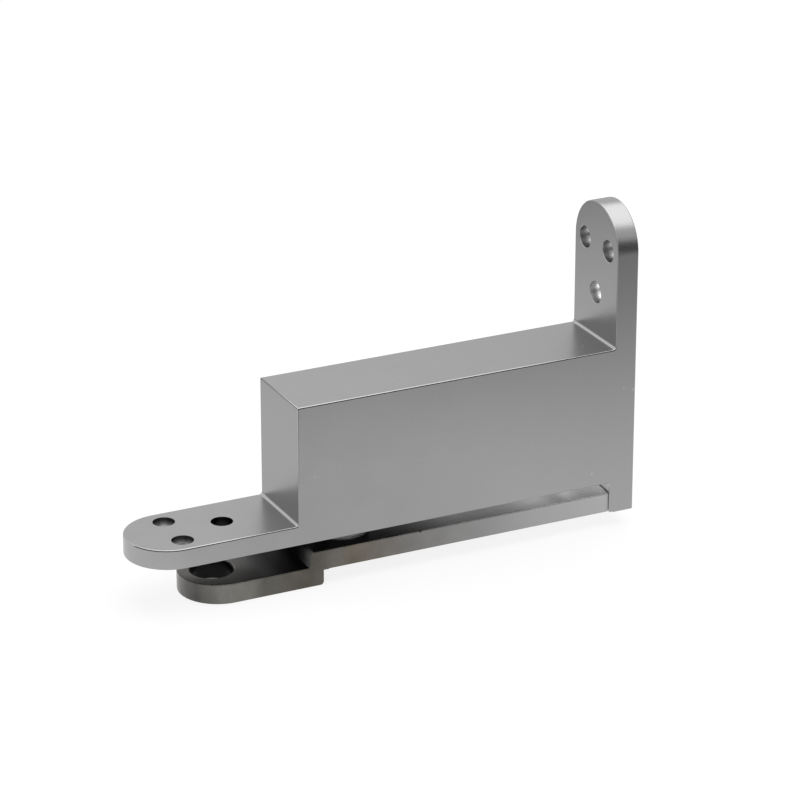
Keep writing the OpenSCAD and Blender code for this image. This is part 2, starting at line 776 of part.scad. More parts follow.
// A speed valve: thread, shank with a seal groove, and needle
module speed_valve(side) {
    slot = valve_seal_d + 0.3;
    slot_x = needle_x + 1.6;
    slot_r = shank_d / 2 - valve_seal_d;
    difference() {
        turned_x(side * valve_y, gallery_z, [
            [needle_tip_x, 0], [needle_tip_x, 0.35], [needle_x - 2, shank_d / 2 - 0.8],
            [needle_x, shank_d / 2 - 0.8], [needle_x, shank_d / 2],
            [slot_x, shank_d / 2], [slot_x, slot_r], [slot_x + slot, slot_r], [slot_x + slot, shank_d / 2],
            [shank_x, shank_d / 2], [shank_x, valve_d / 2],
            [plug_face - 0.4, valve_d / 2], [plug_face, valve_d / 2 - 0.4], [plug_face, 0]
        ]);
        translate([plug_face - valve_hex_depth, side * valve_y, gallery_z])
            rotate([0, 90, 0]) cylinder(h = valve_hex_depth + over, d = valve_hex_d, $fn = 6);
    }
}

module speed_valve_seal(side) {
    slot = valve_seal_d + 0.3;
    color(seal_black)
        seal_x(needle_x + 1.6 + slot / 2, side * valve_y, gallery_z,
               shank_d / 2 - valve_seal_d / 2 + seat_gap / 2, valve_seal_d / 2 - seat_gap / 2);
}

module closing_valve() {
    color(bright_steel) speed_valve(-1);
}

module latching_valve() {
    color(bright_steel) speed_valve(1);
}

module closing_valve_seal() {
    speed_valve_seal(-1);
}

module latching_valve_seal() {
    speed_valve_seal(1);
}

housing();
arm();
spindle();
arm_bolt();
arm_washer();
thrust_washer();
bearing_collar();
collar_gasket();
spindle_seal();
lower_bearing();
upper_bearing();
rack_piston();
piston_ring();
check_ball();
ball_keeper();
closing_spring();
spring_plate();
end_plug();
end_plug_seal();
closing_valve();
closing_valve_seal();
latching_valve();
latching_valve_seal();
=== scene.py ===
# %% [markdown]
# # A self-closing bottom pivot hinge
# The hinge carries a swing door from below. Its housing is let into the door's bottom corner,
# and a cranked arm on its spindle is pinned to the floor. A spring and an oil-filled cylinder
# inside the housing close the door.
#
# The hard shapes come from the CAD frame, so this lesson is mostly about metal: how two
# finishes, satin chrome and forged steel, are told apart by their colour, their gloss and
# their small faults.

import json
import math

import bmesh
import bpy
from mathutils import Matrix, Vector


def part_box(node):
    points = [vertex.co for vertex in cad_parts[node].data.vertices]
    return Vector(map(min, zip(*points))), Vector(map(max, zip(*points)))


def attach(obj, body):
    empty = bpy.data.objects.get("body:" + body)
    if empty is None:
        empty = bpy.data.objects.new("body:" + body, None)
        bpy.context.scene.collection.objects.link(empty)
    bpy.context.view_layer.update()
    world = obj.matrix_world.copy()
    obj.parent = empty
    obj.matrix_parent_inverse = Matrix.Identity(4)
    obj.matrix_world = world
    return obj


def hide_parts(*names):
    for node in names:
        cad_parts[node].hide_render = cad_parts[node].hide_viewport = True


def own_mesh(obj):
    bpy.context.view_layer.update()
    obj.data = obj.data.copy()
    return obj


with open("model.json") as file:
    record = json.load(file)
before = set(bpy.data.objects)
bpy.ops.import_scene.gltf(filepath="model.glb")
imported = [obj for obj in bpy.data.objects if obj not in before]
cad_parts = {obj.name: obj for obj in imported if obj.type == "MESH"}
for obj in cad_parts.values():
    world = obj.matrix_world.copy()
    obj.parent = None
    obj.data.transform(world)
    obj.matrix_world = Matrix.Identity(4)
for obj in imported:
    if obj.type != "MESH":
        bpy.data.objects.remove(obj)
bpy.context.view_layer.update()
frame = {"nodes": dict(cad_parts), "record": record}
MM = 0.001
print("CAD nodes:", len(frame["nodes"]))

# %% [markdown]
# ## Camera
# A long lens far away keeps the block's edges nearly parallel, as in a catalogue picture. A
# camera can be turned by three angles or pointed at a place. The place is easier to read and
# to change, and the same helper aims the lamp later.

# %% Place the camera
SENSOR, LENS = 36, 166.77
NEAREST, FARTHEST = 0.05, 20


def aimed(place, target):
    """The turn of something that stands at place and looks at target."""
    return (Vector(target) - Vector(place)).to_track_quat("-Z", "Y").to_euler()


camera_data = bpy.data.cameras.new("camera")
camera_data.sensor_width = SENSOR
camera_data.lens = LENS
camera_data.clip_start = NEAREST
camera_data.clip_end = FARTHEST
camera = bpy.data.objects.new("camera", camera_data)
bpy.context.scene.collection.objects.link(camera)
camera_place = Vector((-431.4, -1026.8, 526.5)) * MM
look_at = Vector((69.32, 0, 54.84)) * MM
camera.location = camera_place
camera.rotation_euler = aimed(camera_place, look_at)
bpy.context.scene.camera = camera
print("camera distance, mm:", round((look_at - camera_place).length / MM))

# %% [markdown]
# ## The white room
# Metal shows its surroundings more than its own colour, so the room is part of the finish. A
# picture of a real studio could surround the hinge, but a plain white world gives the same
# grey faces and needs no file. Like every material, the world is a node tree. It could be
# clicked together in the editor, but a script shows each number and gives the same result
# each time, and a few small helpers keep it readable.

# %% An empty world with a background
def add_node(tree, kind, **settings):
    """A new node, with options such as its operation set."""
    node = tree.nodes.new(kind)
    for name, value in settings.items():
        setattr(node, name, value)
    return node


world = bpy.data.worlds.new("studio")
bpy.context.scene.world = world
world.use_nodes = True
tree = world.node_tree
tree.nodes.clear()
room = add_node(tree, "ShaderNodeBackground")
room_out = add_node(tree, "ShaderNodeOutputWorld")
tree.links.new(room.outputs[0], room_out.inputs["Surface"])
print("world nodes:", len(tree.nodes))

# %% [markdown]
# ## Two levels of white
# One level for all rays can't be right: bright enough for a white background, it would burn
# out the metal. The Light Path node tells the rays apart. The camera, the reflections and
# whatever looks through glass see full white, and the rays that only light the object get a
# calmer level.

# %% Which rays see the room
def feed(tree, value, socket):
    """Links value into socket, or writes it there if it is a plain number or colour."""
    if isinstance(value, bpy.types.NodeSocket):
        tree.links.new(value, socket)
    elif socket.type == "RGBA":
        socket.default_value = (*value, 1)
    else:
        socket.default_value = value


def math_node(tree, operation, a, b):
    """One sum or test of two values; each is a plain number or a socket."""
    node = add_node(tree, "ShaderNodeMath", operation=operation)
    feed(tree, a, node.inputs[0])
    feed(tree, b, node.inputs[1])
    return node.outputs[0]


def fold(tree, operation, first, *others):
    """The same sum over several values, one after the other."""
    for other in others:
        first = math_node(tree, operation, first, other)
    return first


def largest(tree, *values):
    """The largest value: of masks, which are 1 or 0, it is 1 where any is 1."""
    return fold(tree, "MAXIMUM", *values)


path = add_node(tree, "ShaderNodeLightPath").outputs
seen = largest(tree, path["Is Camera Ray"], path["Is Glossy Ray"], path["Is Transmission Ray"])
print("world nodes:", len(tree.nodes))

# %% The two levels
LIGHTING_LEVEL, SEEN_LEVEL = 0.6, 1.0


def remap(tree, source, low, high, start=0.0, end=1.0):
    """Stretches source from low..high to start..end."""
    node = add_node(tree, "ShaderNodeMapRange")
    for name, value in (("From Min", low), ("From Max", high), ("To Min", start), ("To Max", end)):
        node.inputs[name].default_value = value
    tree.links.new(source, node.inputs["Value"])
    return node.outputs["Result"]


tree.links.new(remap(tree, seen, 0, 1, LIGHTING_LEVEL, SEEN_LEVEL), room.inputs["Strength"])
print("white, for light and for the eye:", LIGHTING_LEVEL, SEEN_LEVEL)

# %% [markdown]
# ## The floor
# The hinge lies on a sheet of white paper. Light from it fills the underside, and its shadow
# shows that the hinge stands. A plain white floor would be reflected at the same strength
# everywhere, which makes the lower half of the block look flat. So the paper glows in a pool
# that only reflections see: brightest behind the block, fading outwards, a little calmer in
# front of the block and below the tongue.

# %% A matte material
def new_material(name):
    """An empty material and its node tree."""
    material = bpy.data.materials.new(name)
    material.use_nodes = True
    material.node_tree.nodes.clear()
    return material, material.node_tree


def matte_shader(tree, grey, roughness):
    """Paper or felt: a plain grey without any gloss."""
    shader = add_node(tree, "ShaderNodeBsdfPrincipled")
    feed(tree, (grey, grey, grey), shader.inputs["Base Color"])
    feed(tree, roughness, shader.inputs["Roughness"])
    feed(tree, 0.0, shader.inputs["Specular IOR Level"])
    output = add_node(tree, "ShaderNodeOutputMaterial")
    tree.links.new(shader.outputs[0], output.inputs["Surface"])
    return shader


PAPER_GREY, PAPER_ROUGH = 0.2, 0.9
floor_material, tree = new_material("floor_white")
paper = matte_shader(tree, PAPER_GREY, PAPER_ROUGH)
print("floor nodes:", len(tree.nodes))

# %% The pool of light, by distance from its middle
def curve_through(tree, source, stops):
    """A smooth curve through (position, value) stops."""
    low, high = stops[0][0], stops[-1][0]
    curve = add_node(tree, "ShaderNodeFloatCurve")
    points = curve.mapping.curves[0].points
    while len(points) < len(stops):
        points.new(0.5, 0.5)  # each is moved to its own place below
    for point, (place, value) in zip(points, stops):
        point.location = ((place - low) / (high - low), value)
    curve.mapping.update()
    tree.links.new(remap(tree, source, low, high), curve.inputs["Value"])
    return curve.outputs["Value"]


POOL_MIDDLE = (90 * MM, 50 * MM, 0)
POOL_STRETCH = (2, 1, 1)
POOL = [(0, 0.8), (0.11, 0.82), (0.155, 0.74), (0.2, 0.66), (0.23, 0.47), (0.28, 0.28), (0.4, 0.18)]
on_floor = add_node(tree, "ShaderNodeTexCoord").outputs["Object"]
pool = add_node(tree, "ShaderNodeMapping", vector_type="TEXTURE")
pool.inputs["Location"].default_value = POOL_MIDDLE
pool.inputs["Scale"].default_value = POOL_STRETCH
tree.links.new(on_floor, pool.inputs["Vector"])
reach = add_node(tree, "ShaderNodeVectorMath", operation="LENGTH")
tree.links.new(pool.outputs[0], reach.inputs[0])
pool_glow = curve_through(tree, reach.outputs["Value"], POOL)
print("pool, share of white from its middle to 0.4 m away:", POOL[0][1], "to", POOL[-1][1])

# %% Two calmer places in the pool
def product(tree, *values):
    """All values multiplied: of masks, it is 1 where every one is 1."""
    return fold(tree, "MULTIPLY", *values)


CALM_MIDDLE = (68 * MM, -66 * MM, 0)
CALM_SPOT = [(0, 0.83), (0.02, 0.84), (0.06, 1)]
CALM_LEFT = [(-0.06, 0.94), (-0.01, 0.93), (0.01, 0.85), (0.035, 0.88), (0.07, 1)]
spot_reach = add_node(tree, "ShaderNodeVectorMath", operation="DISTANCE")
spot_reach.inputs[1].default_value = CALM_MIDDLE
tree.links.new(on_floor, spot_reach.inputs[0])
calm_spot = curve_through(tree, spot_reach.outputs["Value"], CALM_SPOT)
floor_axes = add_node(tree, "ShaderNodeSeparateXYZ")
tree.links.new(on_floor, floor_axes.inputs[0])
calm_left = curve_through(tree, floor_axes.outputs["X"], CALM_LEFT)
glow = product(tree, pool_glow, product(tree, calm_spot, calm_left))
print("calm spot, mm:", [round(value / MM) for value in CALM_MIDDLE[:2]])
print("calm to the left of, mm:", round(CALM_LEFT[-1][0] / MM))

# %% Wire the glow: the camera sees one level, reflections see the pool
SEEN_PAPER = 0.85
path = add_node(tree, "ShaderNodeLightPath").outputs
for_camera = product(tree, path["Is Camera Ray"], SEEN_PAPER)
for_gloss = product(tree, largest(tree, path["Is Glossy Ray"], path["Is Transmission Ray"]), glow)
feed(tree, (1, 1, 1), paper.inputs["Emission Color"])
tree.links.new(math_node(tree, "ADD", for_camera, for_gloss), paper.inputs["Emission Strength"])
print("floor nodes:", len(tree.nodes))

# %% Lay the sheet
FLOOR_SIZE, FLOOR_DROP = (8, 8), 0.1 * MM


def plane(name, material, size, matrix):
    """A flat rectangle that is part of the studio, not of the hinge."""
    mesh = bpy.data.meshes.new(name)
    bm = bmesh.new()
    stretched = matrix @ Matrix.Diagonal((*size, 1, 1))
    half = 0.5  # a grid is measured from its middle, so this is one metre square
    bmesh.ops.create_grid(bm, x_segments=1, y_segments=1, size=half, matrix=stretched)
    bm.to_mesh(mesh)
    bm.free()
    mesh.materials.append(material)
    sheet = bpy.data.objects.new(name, mesh)
    bpy.context.scene.collection.objects.link(sheet)
    return sheet


plane("floor", floor_material, FLOOR_SIZE, Matrix.Translation((0, 0, -FLOOR_DROP)))
print("floor, m:", FLOOR_SIZE)

# %% [markdown]
# ## A grey flag
# Photographers hold a dark card, a flag, beside shiny things, so that the metal has something
# dark to reflect and keeps its shape. The block's front needs it. It could be a darker patch
# in the world, but a real sheet stays where it is when the view turns. It throws no shadow
# and the camera doesn't see it.

# %% Hang the flag in front
FLAG_SIZE, FLAG_MIDDLE = (1.1, 0.24), (0.5, -0.45, 0.12)
FELT_GREY, FELT_ROUGH = 0.15, 1.0
flag_material, tree = new_material("flag_grey")
matte_shader(tree, FELT_GREY, FELT_ROUGH)
upright = Matrix.Rotation(math.radians(90), 4, "X")
flag = plane("front_flag", flag_material, FLAG_SIZE, Matrix.Translation(FLAG_MIDDLE) @ upright)
flag.visible_camera = False
flag.visible_shadow = False
print("flag, m:", FLAG_SIZE)

# %% [markdown]
# ## One soft lamp
# The edges need a light from above. A sun or a point lamp would give hard glints on metal. An
# area lamp more than a metre wide gives long soft ones. It hangs a little behind the block,
# so that the front stays a shade darker than the top.

# %% Hang the lamp overhead
LAMP_PLACE, LAMP_TARGET = (0.3, 0.1, 0.9), (0.3, 0.1, 0)
LAMP_WIDTH, LAMP_DEPTH, LAMP_WATTS = 1.1, 1.3, 6.6
lamp_data = bpy.data.lights.new("overhead", "AREA")
lamp_data.shape = "RECTANGLE"
lamp_data.size = LAMP_WIDTH
lamp_data.size_y = LAMP_DEPTH
lamp_data.energy = LAMP_WATTS
lamp = bpy.data.objects.new("overhead", lamp_data)
lamp.location = LAMP_PLACE
lamp.rotation_euler = aimed(LAMP_PLACE, LAMP_TARGET)
lamp.visible_camera = False
bpy.context.scene.collection.objects.link(lamp)
print("lamp:", LAMP_WATTS, "W over", round(LAMP_WIDTH * LAMP_DEPTH, 2), "square metres")

# %% [markdown]
# ## The skin of cast and forged metal
# Both large pieces have a faint cloudiness, a fine grain and a few small specks. Each material
# could have its own textures, but then a change to the grain would have to be made twice. One
# node group makes all three, and each material asks for its own scales and its own share of
# specks. Clouds and grain are noise, and the specks are the middles of some Voronoi cells.

# %% The group's sockets
SKIN_SCALES = {"Cloud Scale": 120, "Grain Scale": 2200, "Speck Share": 0.1}
cast_skin = bpy.data.node_groups.new("cast_skin", "ShaderNodeTree")
skin_sockets = cast_skin.interface
skin_sockets.new_socket("Vector", in_out="INPUT", socket_type="NodeSocketVector")
for name, value in SKIN_SCALES.items():
    socket = skin_sockets.new_socket(name, in_out="INPUT", socket_type="NodeSocketFloat")
    socket.default_value = value
for name in ("Cloud", "Grain", "Speck"):
    skin_sockets.new_socket(name, in_out="OUTPUT", socket_type="NodeSocketFloat")
print("cast_skin sockets:", len(skin_sockets.items_tree))

# %% The group's textures
CLOUD_DETAIL, GRAIN_DETAIL, SPECK_SCALE = 4, 3, 260
SPECK_EDGE, SPECK_CORE = 0.16, 0.06
skin_in = add_node(cast_skin, "NodeGroupInput").outputs
skin_out = add_node(cast_skin, "NodeGroupOutput").inputs
cloud = add_node(cast_skin, "ShaderNodeTexNoise")
grain = add_node(cast_skin, "ShaderNodeTexNoise")
cells = add_node(cast_skin, "ShaderNodeTexVoronoi")
feed(cast_skin, CLOUD_DETAIL, cloud.inputs["Detail"])
feed(cast_skin, GRAIN_DETAIL, grain.inputs["Detail"])
feed(cast_skin, SPECK_SCALE, cells.inputs["Scale"])
feed(cast_skin, skin_in["Cloud Scale"], cloud.inputs["Scale"])
feed(cast_skin, skin_in["Grain Scale"], grain.inputs["Scale"])
for texture in (cloud, grain, cells):
    feed(cast_skin, skin_in["Vector"], texture.inputs["Vector"])
cell_colour = add_node(cast_skin, "ShaderNodeSeparateColor")
cast_skin.links.new(cells.outputs["Color"], cell_colour.inputs[0])
chosen = math_node(cast_skin, "LESS_THAN", cell_colour.outputs[0], skin_in["Speck Share"])
middle = remap(cast_skin, cells.outputs["Distance"], SPECK_EDGE, SPECK_CORE)
feed(cast_skin, cloud.outputs["Fac"], skin_out["Cloud"])
feed(cast_skin, grain.outputs["Fac"], skin_out["Grain"])
feed(cast_skin, product(cast_skin, middle, chosen), skin_out["Speck"])
print("cast_skin nodes:", len(cast_skin.nodes))

# %% [markdown]
# ## Satin chrome
# The housing is a casting, blasted and then plated: metal all through, grey, with a soft
# reflection. A metal shader with a single grey and a high roughness would already read as
# metal, but as a dull one. Here the grey has faint clouds, drifts a little darker towards
# the tab, and carries a few pale specks, where the blasting bit deeper than the plating fills.
# All patterns read object coordinates, so that they stay on the metal when it moves.

# %% Satin chrome: a clouded grey
NOISE_SPAN = (0.3, 0.7)
CHROME_DARK, CHROME_LIGHT = (0.395, 0.395, 0.397), (0.415, 0.415, 0.417)


def place_group(tree, group, **values):
    """Places a node group on object coordinates, with its own values."""
    node = add_node(tree, "ShaderNodeGroup", node_tree=group)
    for name, value in values.items():
        node.inputs[name.replace("_", " ")].default_value = value
    coords = add_node(tree, "ShaderNodeTexCoord")
    tree.links.new(coords.outputs["Object"], node.inputs["Vector"])
    return node.outputs


def mix_colour(tree, factor, a, b):
    """Mixes two colours; each is a plain colour or a socket."""
    node = add_node(tree, "ShaderNodeMix", data_type="RGBA")
    tree.links.new(factor, node.inputs["Factor"])
    for name, value in (("A", a), ("B", b)):
        feed(tree, value, [s for s in node.inputs if s.name == name and s.type == "RGBA"][0])
    return [s for s in node.outputs if s.type == "RGBA"][0]


satin_chrome, tree = new_material("satin_chrome")
skin = place_group(tree, cast_skin, Cloud_Scale=90, Grain_Scale=2400, Speck_Share=0.05)
chrome = mix_colour(tree, remap(tree, skin["Cloud"], *NOISE_SPAN), CHROME_DARK, CHROME_LIGHT)
print("satin chrome nodes:", len(tree.nodes))

# %% Satin chrome: drift and specks
CHROME_BY_TAB, CHROME_SPECK = (0.362, 0.362, 0.364), (0.5, 0.5, 0.5)
DRIFT = (20, 135)


def coordinates(tree, kind):
    """X, Y and Z of the shaded point ("Object") or of the way it faces ("Normal")."""
    coords = add_node(tree, "ShaderNodeTexCoord")
    axes = add_node(tree, "ShaderNodeSeparateXYZ")
    tree.links.new(coords.outputs[kind], axes.inputs[0])
    return axes.outputs


def along(tree, axis, low, high, start=0.0, end=1.0):
    """Goes from start to end as the place on an axis goes from low to high, in millimetres."""
    return remap(tree, axis, low * MM, high * MM, start, end)


x, y, z = coordinates(tree, "Object")
chrome = mix_colour(tree, along(tree, x, *DRIFT), chrome, CHROME_BY_TAB)
chrome = mix_colour(tree, skin["Speck"], chrome, CHROME_SPECK)
print("chrome drifts over, mm:", DRIFT[1] - DRIFT[0])

# %% [markdown]
# ## Places on the housing
# Some faces of the housing get their own painted shade and light, so the material has to know where they
# are.
# Vertex groups or separate material slots would do it too, but the skin is one closed mesh
# with one slot. Here a face is found by two questions, each answered with a mask: where is
# the point, and which way does it face? The main places come from the record's mounts, so
# they follow the CAD frame; the others repeat the part's own sizes, in millimetres.

# %% Places, in millimetres
mounts = {row["name"]: row for row in frame["record"]["mounts"]}


def mount_place(name):
    """Where a mount of the record is."""
    return [value / MM for value in mounts[name]["pos_m"]]


PAIR_X, _, TONGUE_TOP = mount_place("tongue_pair")
TAB_INNER = mount_place("tab_face")[0]
TAB_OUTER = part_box("housing")[1][0] / MM
TONGUE_HOLE_X = mount_place("tongue_screw")[0]
TAB_PAIR_Z, TAB_HOLE_Z = mount_place("tab_pair")[2], mount_place("tab_screw")[2]
PAIR_Y = mounts["tongue_pair"]["dims"]["spacing_y_mm"] / 2
BLOCK_LEFT, BLOCK_TOP, BLOCK_UNDER = 25, 65.4, 16.4
print("tongue top and block top:", round(TONGUE_TOP, 2), BLOCK_TOP)
print("tab, inner and outer face:", round(TAB_INNER, 2), round(TAB_OUTER, 2))

# %% Satin chrome: painted shade on the block's end face
END_FACE_SHADE, TO_LEFT = (0.335, 0.335, 0.337), (-1.1, -0.5)
END_BAND = (-0.1, 0.6)


def within(tree, source, low, high):
    """1 where source lies between low and high."""
    return product(tree, math_node(tree, "GREATER_THAN", source, low),
                   math_node(tree, "LESS_THAN", source, high))


def between(tree, axis, low, high):
    """1 where the place on an axis lies between low and high, in millimetres."""
    return within(tree, axis, low * MM, high * MM)


def near(tree, axis, face, band):
    """1 in a band below and above a face, in millimetres."""
    return between(tree, axis, face + band[0], face + band[1])


def facing(tree, axis, low, high):
    """1 where the normal's share of an axis, -1 to 1, lies between low and high."""
    return within(tree, coordinates(tree, "Normal")[axis], low, high)


end_face = product(tree, near(tree, x, BLOCK_LEFT, END_BAND), facing(tree, "X", *TO_LEFT))
chrome = mix_colour(tree, end_face, chrome, END_FACE_SHADE)
print("end face, mm high:", round(BLOCK_TOP - TONGUE_TOP, 1))

# %% [markdown]
# ## Chrome on edges
# A rounded edge mirrors a whole slice of the room in a thin line. On the real hinge some of
# these lines are bright and some dark, because a studio is fuller than our white room. More
# lamps and flags could be placed until each edge is right, but every lamp also changes all
# the others. So these lines are painted into the plating's colour: a painted highlight in the
# fillets, where light from two faces would gather, painted shade on the block's end edge, and
# a painted dark reflection on rims that look at the ground.

# %% Satin chrome: painted highlights in the fillets, painted shade on the end edge and rims
FILLET_HIGHLIGHT, END_EDGE_SHADE, RIM_SHADE = (0.54, 0.54, 0.542), (0.27, 0.27, 0.271), (0.06, 0.06, 0.06)
TILTED_LEFT, TILTED_UP = (-0.93, -0.35), (0.35, 0.93)
RIM_FRONT, RIM_UP = (-0.995, -0.3), (0.1, 0.68)
TONGUE_FILLET, TAB_FILLET = (-0.4, 1.6), (-2, 0.1)
END_EDGE_X, END_EDGE_Z = (-1, 1), (-5.4, 0.6)
BLOCK_RIM, TONGUE_RIM = (-0.8, -0.01), (-0.7, -0.01)
tilted = product(tree, facing(tree, "X", *TILTED_LEFT), facing(tree, "Z", *TILTED_UP))
by_face = largest(tree, near(tree, z, TONGUE_TOP, TONGUE_FILLET), near(tree, x, TAB_INNER, TAB_FILLET))
by_end = product(tree, near(tree, x, BLOCK_LEFT, END_EDGE_X), near(tree, z, BLOCK_TOP, END_EDGE_Z))
rims = largest(tree, near(tree, z, BLOCK_TOP, BLOCK_RIM), near(tree, z, TONGUE_TOP, TONGUE_RIM))
low_rims = product(tree, rims, facing(tree, "Y", *RIM_FRONT), facing(tree, "Z", *RIM_UP))
chrome = mix_colour(tree, product(tree, tilted, by_face), chrome, FILLET_HIGHLIGHT)
chrome = mix_colour(tree, product(tree, tilted, by_end), chrome, END_EDGE_SHADE)
chrome = mix_colour(tree, low_rims, chrome, RIM_SHADE)
print("satin chrome nodes:", len(tree.nodes))

# %% Satin chrome: a painted highlight on the upright corner, brighter upwards
CORNER_HIGHLIGHT = [(24, 0.36), (34, 0.42), (42, 0.48), (50, 0.53), (58, 0.57), (65, 0.6)]
ROUNDED = (-0.97, -0.2)


def colour_stops(tree, axis, stops):
    """A colour that follows an axis through (millimetres, colour) stops."""
    low, high = stops[0][0], stops[-1][0]
    node = add_node(tree, "ShaderNodeValToRGB")
    stop_list = node.color_ramp.elements
    while len(stop_list) < len(stops):
        stop_list.new(0.5)  # each is moved to its own place below
    for stop, (place, colour) in zip(stop_list, stops):
        stop.position = (place - low) / (high - low)
        stop.color = (*colour, 1)
    tree.links.new(along(tree, axis, low, high), node.inputs["Fac"])
    return node.outputs["Color"]


def grey_stops(tree, axis, stops, tint=(1, 1, 1)):
    """The same for greys, which a tint can warm."""
    return colour_stops(tree, axis, [(place, [grey * share for share in tint]) for place, grey in stops])


corner = product(tree, facing(tree, "X", *ROUNDED), facing(tree, "Y", *ROUNDED),
                 near(tree, x, BLOCK_LEFT, END_BAND), between(tree, z, CORNER_HIGHLIGHT[0][0], CORNER_HIGHLIGHT[-1][0]))
chrome = mix_colour(tree, corner, chrome, grey_stops(tree, z, CORNER_HIGHLIGHT))
print("corner tones:", CORNER_HIGHLIGHT[0][1], "to", CORNER_HIGHLIGHT[-1][1])

# %% [markdown]
# ## The gap under the block
# Block and arm lie close together, and the gap between them is black where the collar is and
# opens to a bright slot towards the tail. Ambient occlusion could darken it, but that node
# can't be told where to stop. The block's underside is only seen there, so its grey carries
# painted shade and painted light along the block: dark over the crank, bright over the tail.
# The end plate that closes the gap gets a painted highlight on its inner face, at the top and
# along its front edge.

# %% Satin chrome: painted shade and light on the underside, a painted highlight on the end plate
UNDER_SHADE_AND_LIGHT = [(-30, 0.3), (-14, 0.28), (-4, 0.08), (8, 0.04), (24, 0.04), (40, 0.08), (60, 0.4),
         (75, 0.6), (90, 0.83), (110, 0.92), (121, 0.92), (125, 0.6), (127, 0.42), (129, 0.42),
         (132, 0.8), (134, 0.92), (143, 0.92)]
UNDER_BAND, DOWN = (-0.1, 0.2), (-1.1, -0.9)
# The end plate's inner face gets a painted highlight.
PLATE_HIGHLIGHT = (0.92, 0.92, 0.92)
PLATE_X, PLATE_Z = (130, 144), (5, 16.5)
PLATE_FADE_Z, PLATE_FADE_Y = (11.2, 13), (-12.5, -13.5)
under = product(tree, near(tree, z, BLOCK_UNDER, UNDER_BAND), facing(tree, "Z", *DOWN))
plate = product(tree, between(tree, x, *PLATE_X), facing(tree, "X", *TO_LEFT), between(tree, z, *PLATE_Z))
plate_share = largest(tree, along(tree, z, *PLATE_FADE_Z), along(tree, y, *PLATE_FADE_Y))
chrome = mix_colour(tree, under, chrome, grey_stops(tree, x, UNDER_SHADE_AND_LIGHT))
chrome = mix_colour(tree, product(tree, plate, plate_share), chrome, PLATE_HIGHLIGHT)
print("underside tones:", len(UNDER_SHADE_AND_LIGHT))

# %% [markdown]
# ## Inside the screw holes
# A hole's wall is dark where it looks into the hinge and pale where light comes through from
# the far side. Real depth gives most of that, and the plating inside a hole is thin and dull
# as well; the rest is painted shade and painted light in the wall's grey. Each wall is found
# as a ring around the hole's axis and gets a grey that follows its depth. The third hole in
# the tongue sits over the arm, so its wall gets painted shade and stays nearly black.

# %% Satin chrome: painted shade and light on the six hole walls
HOLE_REACH, END_SLACK, MOUTH_SLACK = 6.2, 0.1, 0.25
PAIR_WALL_SHADING = [(18, 0.5), (20.4, 0.42), (21.3, 0.2), (22.3, 0.06), (23.4, 0.05)]
THIRD_WALL_SHADING = [(16, 0.05), (23.4, 0.03)]
TAB_WALL_SHADING = [(143.3, 0.26), (144.6, 0.22), (145.6, 0.34), (146.4, 0.5), (148.5, 0.6)]
SINGLE_WALL_SHADING = [(143.3, 0.3), (144.6, 0.22), (145.4, 0.4), (146.2, 0.95), (148.5, 0.95)]


def bore_mask(tree, across, axis, centre, reach, low, high):
    """1 near a hole's wall: across are its two cross axes, axis is its own."""
    offsets = [math_node(tree, "SUBTRACT", side, value * MM) for side, value in zip(across, centre)]
    squares = [product(tree, offset, offset) for offset in offsets]
    near_axis = math_node(tree, "LESS_THAN", math_node(tree, "ADD", *squares), (reach * MM) ** 2)
    return product(tree, near_axis, between(tree, axis, low, high))


tongue_span = (BLOCK_UNDER + END_SLACK, TONGUE_TOP - END_SLACK)
tab_span = (TAB_INNER + MOUTH_SLACK, TAB_OUTER - END_SLACK)
holes = [
    ((x, y), z, (PAIR_X, PAIR_Y), tongue_span, PAIR_WALL_SHADING),
    ((x, y), z, (PAIR_X, -PAIR_Y), tongue_span, PAIR_WALL_SHADING),
    ((x, y), z, (TONGUE_HOLE_X, 0), tongue_span, THIRD_WALL_SHADING),
    ((y, z), x, (PAIR_Y, TAB_PAIR_Z), tab_span, TAB_WALL_SHADING),
    ((y, z), x, (-PAIR_Y, TAB_PAIR_Z), tab_span, TAB_WALL_SHADING),
    ((y, z), x, (0, TAB_HOLE_Z), tab_span, SINGLE_WALL_SHADING),
]
for across, axis, centre, span, wall_shading in holes:
    wall = bore_mask(tree, across, axis, centre, HOLE_REACH, *span)
    chrome = mix_colour(tree, wall, chrome, grey_stops(tree, axis, wall_shading))
print("holes toned:", len(holes))

# %% [markdown]
# ## From colour to metal
# The shader turns colour, roughness and relief into metal. Roughness decides how soft the
# reflection is, and the same grain moves it a little up and down, because a real blasted
# skin isn't even. The relief is a bump, not geometry: it is a few hundredths of a
# millimetre deep, far finer than any mesh would be worth.

# %% Finish the chrome
CHROME_ROUGH, CHROME_BUMP = (0.27, 0.33), 0.12
BUMP_DEPTH = 0.1 * MM


def finish_metal(material, tree, colour, roughness, height, bump):
    """Wires colour, roughness and relief into a metal shader."""
    shader = add_node(tree, "ShaderNodeBsdfPrincipled")
    shader.inputs["Metallic"].default_value = 1.0
    tree.links.new(colour, shader.inputs["Base Color"])
    tree.links.new(roughness, shader.inputs["Roughness"])
    relief = add_node(tree, "ShaderNodeBump")
    relief.inputs["Strength"].default_value = bump
    relief.inputs["Distance"].default_value = BUMP_DEPTH
    tree.links.new(height, relief.inputs["Height"])
    tree.links.new(relief.outputs["Normal"], shader.inputs["Normal"])
    output = add_node(tree, "ShaderNodeOutputMaterial")
    tree.links.new(shader.outputs[0], output.inputs["Surface"])
    print(material.name, "nodes:", len(tree.nodes))


chrome_rough = remap(tree, skin["Grain"], *NOISE_SPAN, *CHROME_ROUGH)
finish_metal(satin_chrome, tree, chrome, chrome_rough, skin["Grain"], CHROME_BUMP)

